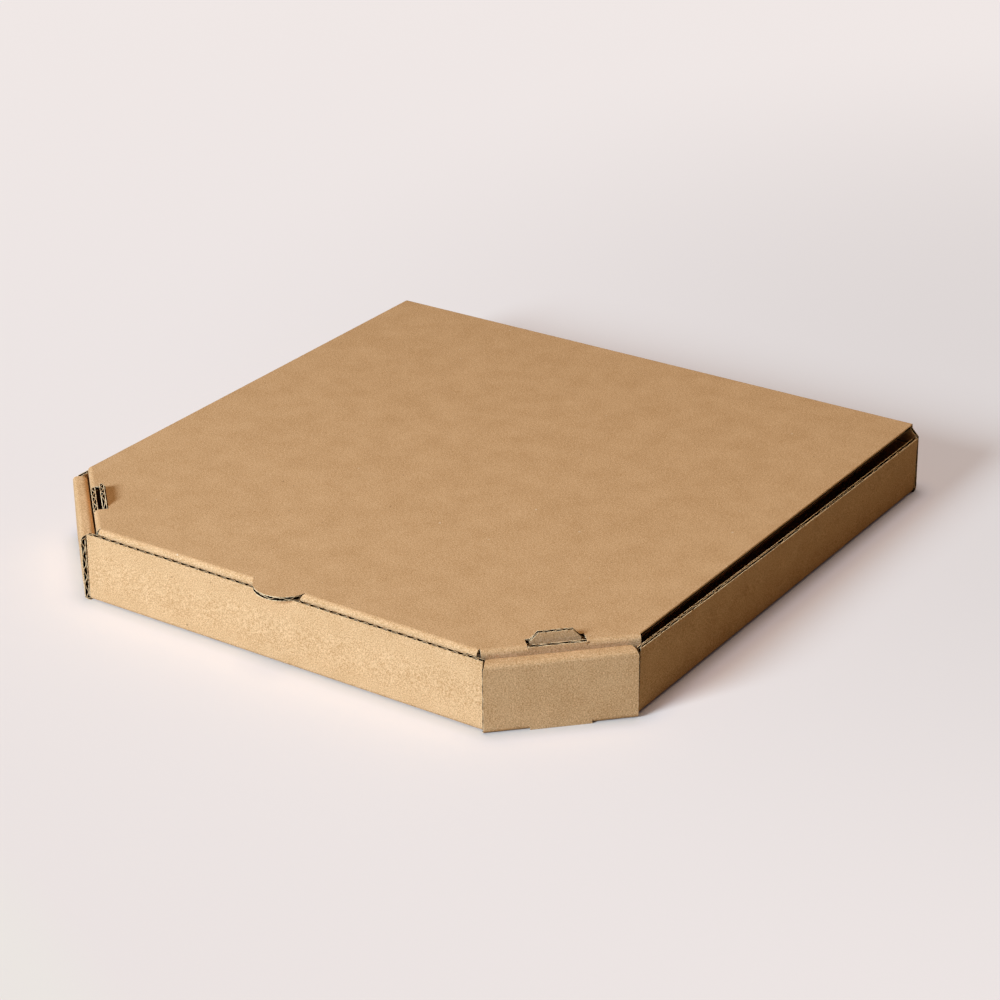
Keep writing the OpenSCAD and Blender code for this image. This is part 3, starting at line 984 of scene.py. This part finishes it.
def fluting_tree():
    """Nodes that wave a flat band of paper into flutes and give it its thickness."""
    tree = bpy.data.node_groups.get("fluting")
    if tree:
        return tree
    tree = bpy.data.node_groups.new("fluting", "GeometryNodeTree")
    tree.is_modifier = True
    tree.interface.new_socket("Band", in_out="INPUT", socket_type="NodeSocketGeometry")
    for name in ("Flute height", "Paper thickness", "Crush length"):
        tree.interface.new_socket(name, in_out="INPUT", socket_type="NodeSocketFloat")
    tree.interface.new_socket("Paper", in_out="INPUT", socket_type="NodeSocketMaterial")
    tree.interface.new_socket("Fluting", in_out="OUTPUT", socket_type="NodeSocketGeometry")
    given = add_node(tree, "NodeGroupInput").outputs
    phase, sway, inward = (
        result(tree, "GeometryNodeInputNamedAttribute", {"Name": name}, data_type=kind)
        for name, kind in (("phase", "FLOAT"), ("sway", "FLOAT"), ("inward", "FLOAT_VECTOR"))
    )
    place = result(tree, "GeometryNodeInputPosition")
    frequency = maths(tree, "DIVIDE", 1.0, given["Crush length"])
    dents = result(
        tree, "ShaderNodeTexNoise", {"Vector": place, "W": float(SEED), "Scale": frequency, "Detail": 2.0},
        "Fac", noise_dimensions="4D")
    shift = maths(tree, "MULTIPLY", ranged(tree, dents, 0.3, 0.7, to_low=-0.5, to_high=0.5), sway)
    turns = maths(tree, "MULTIPLY", maths(tree, "ADD", phase, shift), math.tau)
    half = maths(tree, "MULTIPLY", given["Flute height"], 0.5)
    height = maths(tree, "MULTIPLY", maths(tree, "SINE", turns), half)
    lift = scaled(tree, inward, height)
    waved = result(tree, "GeometryNodeSetPosition", {"Geometry": given["Band"], "Offset": lift})
    thickness = {"Mesh": waved, "Offset Scale": given["Paper thickness"], "Individual": False}
    thick = result(tree, "GeometryNodeExtrudeMesh", thickness, mode="FACES")
    back = result(tree, "GeometryNodeFlipFaces", {"Mesh": waved})
    both = add_node(tree, "GeometryNodeJoinGeometry")
    for sheet in (thick, back):
        tree.links.new(sheet, both.inputs[0])
    seams = {"Geometry": both.outputs[0], "Distance": MERGE_DISTANCE}
    merged = result(tree, "GeometryNodeMergeByDistance", seams)
    smooth = result(tree, "GeometryNodeSetShadeSmooth", {"Geometry": merged})
    real = result(tree, "GeometryNodeRealizeInstances", {"Geometry": smooth})
    painted = result(tree, "GeometryNodeSetMaterial", {"Geometry": real, "Material": given["Paper"]})
    add_node(tree, "NodeGroupOutput", {0: painted})
    return tree


def fluting_object(name, board, material):
    """The flutes along a board's cut edges, as a plain mesh object."""
    s = board.shape
    mesh = bpy.data.meshes.new(name + "_bands")
    mesh.from_pydata(board.band_points, [], board.band_faces)
    for attribute, kind, field, values in (
        ("phase", "FLOAT", "value", board.band_phase),
        ("inset", "FLOAT", "value", board.band_inset),
        ("sway", "FLOAT", "value", board.band_sway),
        ("inward", "FLOAT_VECTOR", "vector", [c for way in board.band_inward for c in way]),
    ):
        mesh.attributes.new(attribute, kind, "POINT").data.foreach_set(field, values)
    bands = linked(name + "_bands", mesh)
    modifier = bands.modifiers.new("fluting", "NODES")
    modifier.node_group = fluting_tree()
    inputs = {
        "Flute height": s.board_t - 2 * s.liner_t - s.medium_t,
        "Paper thickness": s.medium_t,
        "Crush length": 5 * MM,
        "Paper": material,
    }
    for item in modifier.node_group.interface.items_tree:
        if item.name in inputs and item.in_out == "INPUT":
            modifier[item.identifier] = inputs[item.name]
    evaluated = bands.evaluated_get(bpy.context.evaluated_depsgraph_get())
    waved = bpy.data.meshes.new_from_object(evaluated)
    waved.name = name
    made = linked(name, waved)
    bpy.data.objects.remove(bands)
    return made


def finish_body(body, board, finish):
    """The pieces of one body: its board, which stands for the solid, and the flutes inside it."""
    liners = board_object(body + "_board", board, board_materials(finish))
    paper = bpy.data.materials.get("fluting_paper") or fluting_paper(finish)
    flutes = fluting_object(body + "_fluting", board, paper)
    for piece in (liners, flutes):
        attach(piece, body)
    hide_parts(body)


def crease_strip(name, path, half_width, thickness_way, materials, slot):
    """A paper strip with the given section, as wide as the lid, that bridges the hinge crease."""
    count = len(path)
    points = []
    for spot, way in zip(path, thickness_way):
        for inner in (Vector((0, 0)), way):
            points += [Vector((x, *(spot + inner))) for x in (-half_width, half_width)]
    faces = []
    for i in range(count - 1):
        a, b = 4 * i, 4 * (i + 1)
        faces += [
            (a, a + 1, b + 1, b), (a + 3, a + 2, b + 2, b + 3),
            (a + 2, a, b, b + 2), (a + 1, a + 3, b + 3, b + 1)]
    last = 4 * (count - 1)
    faces += [(0, 2, 3, 1), (last, last + 1, last + 3, last + 2)]
    return mesh_object(name, points, faces, [slot] * len(faces), materials, face_outwards)


def face_outwards(bm):
    """Turns every face outwards."""
    bmesh.ops.recalc_face_normals(bm, faces=bm.faces[:])


class PIZZABOX_OT_fold_tray(bpy.types.Operator):
    """Fold the tray from its floor, walls, ears and rolled corners"""

    bl_idname = "pizza_box.fold_tray"
    bl_label = "Fold tray"

    def execute(self, context):
        board = fold_tray(shape_of(context.scene.pizza_box_sizes))
        finish_body("tray", board, context.scene.pizza_box_finish)
        return {"FINISHED"}


class PIZZABOX_OT_fold_lid(bpy.types.Operator):
    """Fold the lid from its panel, tuck flaps, thumb tab and lock tabs"""

    bl_idname = "pizza_box.fold_lid"
    bl_label = "Fold lid"

    def execute(self, context):
        board = fold_lid(shape_of(context.scene.pizza_box_sizes))
        finish_body("lid", board, context.scene.pizza_box_finish)
        return {"FINISHED"}


class PIZZABOX_OT_crease_hinge(bpy.types.Operator):
    """Bridge the hinge crease with the liners, bent round it at rest"""

    bl_idname = "pizza_box.crease_hinge"
    bl_label = "Crease hinge"

    def execute(self, context):
        s = shape_of(context.scene.pizza_box_sizes)
        materials = board_materials(context.scene.pizza_box_finish)
        radius = s.board_t / 2
        axis = Vector((s.hinge_y, s.hinge_z))
        parts = 10
        turns = [QUARTER * i / parts for i in range(parts + 1)]
        arc = [axis + radius * Vector((math.cos(a), math.sin(a))) for a in turns]
        ways = [s.liner_t * Vector((-math.cos(a), -math.sin(a))) for a in turns]
        wall_top = Vector((s.hinge_y + radius, s.back_wall_h))
        path = [wall_top, *arc]
        outer = crease_strip(
            "hinge_crease_outside", path, s.panel_x, [ways[0], *ways], materials, OUTSIDE
        )
        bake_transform(outer)

        overlap = 0.1 * MM
        low = Vector((s.hinge_y - radius, s.back_wall_h - overlap))
        high = Vector((s.hinge_y - radius, s.lid_h - s.board_t))
        rows = 16
        inner_path = [low.lerp(high, i / rows) for i in range(rows + 1)]
        inner_way = [Vector((s.liner_t, 0))] * (rows + 1)
        inner = crease_strip("hinge_crease_inside", inner_path, s.panel_x, inner_way, materials, INSIDE)
        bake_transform(inner)
        return {"FINISHED"}


class PIZZABOX_OT_set_stage(bpy.types.Operator):
    """Set the floor, the lights and the camera"""

    bl_idname = "pizza_box.set_stage"
    bl_label = "Set stage"

    def execute(self, context):
        stage = context.scene.pizza_box_stage
        add_floor(context.scene.pizza_box_finish, stage)
        add_lights(context.scene, stage)
        add_camera(context.scene, stage)
        context.scene.view_settings.view_transform = "Standard"
        return {"FINISHED"}


def add_floor(finish, stage):
    """A pale matt paper sweep that looks evenly lit to the camera, takes shadows, and has a painted soft
    shadow behind the box.
    """
    half = 12.0
    drop = 0.05 * MM
    mesh = bpy.data.meshes.new("floor")
    corners = ((-half, -half), (half, -half), (half, half), (-half, half))
    mesh.from_pydata([(x, y, -drop) for x, y in corners], [], [(0, 1, 2, 3)])
    material, tree, place = new_material("matt_paper_sweep")
    # Painted shadow: the floor that the camera sees is painted darker around a place behind the box
    behind = vector_maths(tree, "DISTANCE", place, PAINTED_SHADOW_PLACE)
    painted_shadow = ranged(tree, behind, low=0.2, high=0.85, to_low=0.86, interpolation_type="SMOOTHSTEP")
    even = scaled(tree, Vector(finish.floor_seen), painted_shadow)
    lit = Vector(finish.floor) * Vector(stage.sky_colour) * stage.sky_level
    # A lamp's light falls off with the square of its distance and with its slant at both ends
    for _, lamp, _, level, tint in lamps(stage):
        way = vector_maths(tree, "SUBTRACT", lamp, place)
        aim = vector_maths(tree, "DOT_PRODUCT", way, lamp.normalized())
        fall = maths(tree, "DIVIDE", aim, maths(tree, "POWER", vector_maths(tree, "LENGTH", way), 4.0))
        near = Vector(finish.floor) * Vector(tint) * level * lamp.length_squared * lamp.z
        lit = vector_maths(tree, "ADD", lit, scaled(tree, near, fall))
    wanted, caught = (
        result(tree, "ShaderNodeSeparateXYZ", {0: vector}, "Z") for vector in (even, lit))
    held = maths(tree, "DIVIDE", wanted, caught, use_clamp=True)
    rest = vector_maths(tree, "SUBTRACT", even, scaled(tree, lit, held))
    lift = vector_maths(tree, "MAXIMUM", rest, (0, 0, 0))
    seen = result(tree, "ShaderNodeLightPath", output="Is Camera Ray")
    skin = mixed(tree, seen, rgba(finish.floor_bounce), scaled(tree, Vector(finish.floor), held))
    paper = result(tree, "ShaderNodeBsdfDiffuse", {"Color": skin})
    contact = result(tree, "ShaderNodeAmbientOcclusion", {"Distance": 10 * MM}, "AO", samples=16)
    strength = maths(tree, "MULTIPLY", seen, maths(tree, "POWER", contact, 2.0))
    glow = result(tree, "ShaderNodeEmission", {"Color": lift, "Strength": strength})
    show(tree, result(tree, "ShaderNodeAddShader", {0: paper, 1: glow}))
    mesh.materials.append(material)
    linked("floor", mesh)


def facing(azimuth, elevation):
    """The direction from the box to what stands at that turn to the right of the front and that height."""
    level = math.cos(elevation)
    return Vector((math.sin(azimuth) * level, -math.cos(azimuth) * level, math.sin(elevation)))


def lamps(stage):
    """Name, place, width, level and tint of each lamp."""
    key = facing(stage.key_azimuth, stage.key_elevation) * stage.key_distance
    return (
        ("key", key, stage.key_size, stage.key_level, stage.key_colour),
        ("top", UP * stage.top_height, stage.top_size, stage.top_level, stage.top_colour),
    )


def add_lights(scene, stage):
    """A large soft light from the front left, another above the box, and even light from all around."""
    for name, place, size, level, tint in lamps(stage):
        lamp = bpy.data.lights.new(name, "AREA")
        lamp.shape = "DISK"
        lamp.size = size
        lamp.color = tint
        lamp.energy = level * math.pi**2 * place.length_squared
        light = linked(name, lamp)
        light.location = place
        light.rotation_euler = place.to_track_quat("Z", "Y").to_euler()
    world = bpy.data.worlds.new("even_light")
    world.use_nodes = True
    background = world.node_tree.nodes["Background"]
    background.inputs["Color"].default_value = rgba(stage.sky_colour)
    background.inputs["Strength"].default_value = stage.sky_level
    scene.world = world


def add_camera(scene, stage):
    """The camera at the photograph's place and angle."""
    lens = bpy.data.cameras.new("camera")
    lens.lens = stage.camera_lens
    lens.sensor_width = 36
    camera = linked("camera", lens)
    back = facing(stage.camera_azimuth, stage.camera_elevation)
    level = Vector((math.cos(stage.camera_azimuth), math.sin(stage.camera_azimuth), 0))
    upright = back.cross(level)
    cos_roll, sin_roll = math.cos(stage.camera_roll), math.sin(stage.camera_roll)
    right = level * cos_roll + upright * sin_roll
    up = upright * cos_roll - level * sin_roll
    turn = Matrix((right, up, back)).transposed().to_4x4()
    camera.matrix_world = Matrix.Translation(Vector(stage.camera_place)) @ turn
    scene.camera = camera


class PIZZABOX_PT_panel(bpy.types.Panel):
    """Sidebar panel with the steps and sizes of the box"""

    bl_idname = "PIZZABOX_PT_panel"
    bl_label = "Pizza Box"
    bl_space_type = "VIEW_3D"
    bl_region_type = "UI"
    bl_category = "Pizza Box"

    def draw(self, context):
        for step in STEPS:
            self.layout.operator(step.bl_idname)
        for holder, kind in GROUPS.items():
            box = self.layout.box()
            for name in kind.__annotations__:
                box.prop(getattr(context.scene, holder), name)


STEPS = (PIZZABOX_OT_fold_tray, PIZZABOX_OT_fold_lid, PIZZABOX_OT_crease_hinge, PIZZABOX_OT_set_stage)
GROUPS = {
    "pizza_box_sizes": PizzaBoxSizes,
    "pizza_box_finish": PizzaBoxFinish,
    "pizza_box_stage": PizzaBoxStage,
}


def register():
    for cls in (*GROUPS.values(), *STEPS, PIZZABOX_PT_panel):
        bpy.utils.register_class(cls)
    for name, group in GROUPS.items():
        setattr(bpy.types.Scene, name, bpy.props.PointerProperty(type=group))


def unregister():
    for name in GROUPS:
        delattr(bpy.types.Scene, name)
    for cls in (PIZZABOX_PT_panel, *reversed(STEPS), *reversed(GROUPS.values())):
        bpy.utils.unregister_class(cls)


def main():
    """Builds the box and its stage."""
    register()
    bpy.ops.pizza_box.fold_tray()
    bpy.ops.pizza_box.fold_lid()
    bpy.ops.pizza_box.crease_hinge()
    bpy.ops.pizza_box.set_stage()


if __name__ == "__main__":
    main()
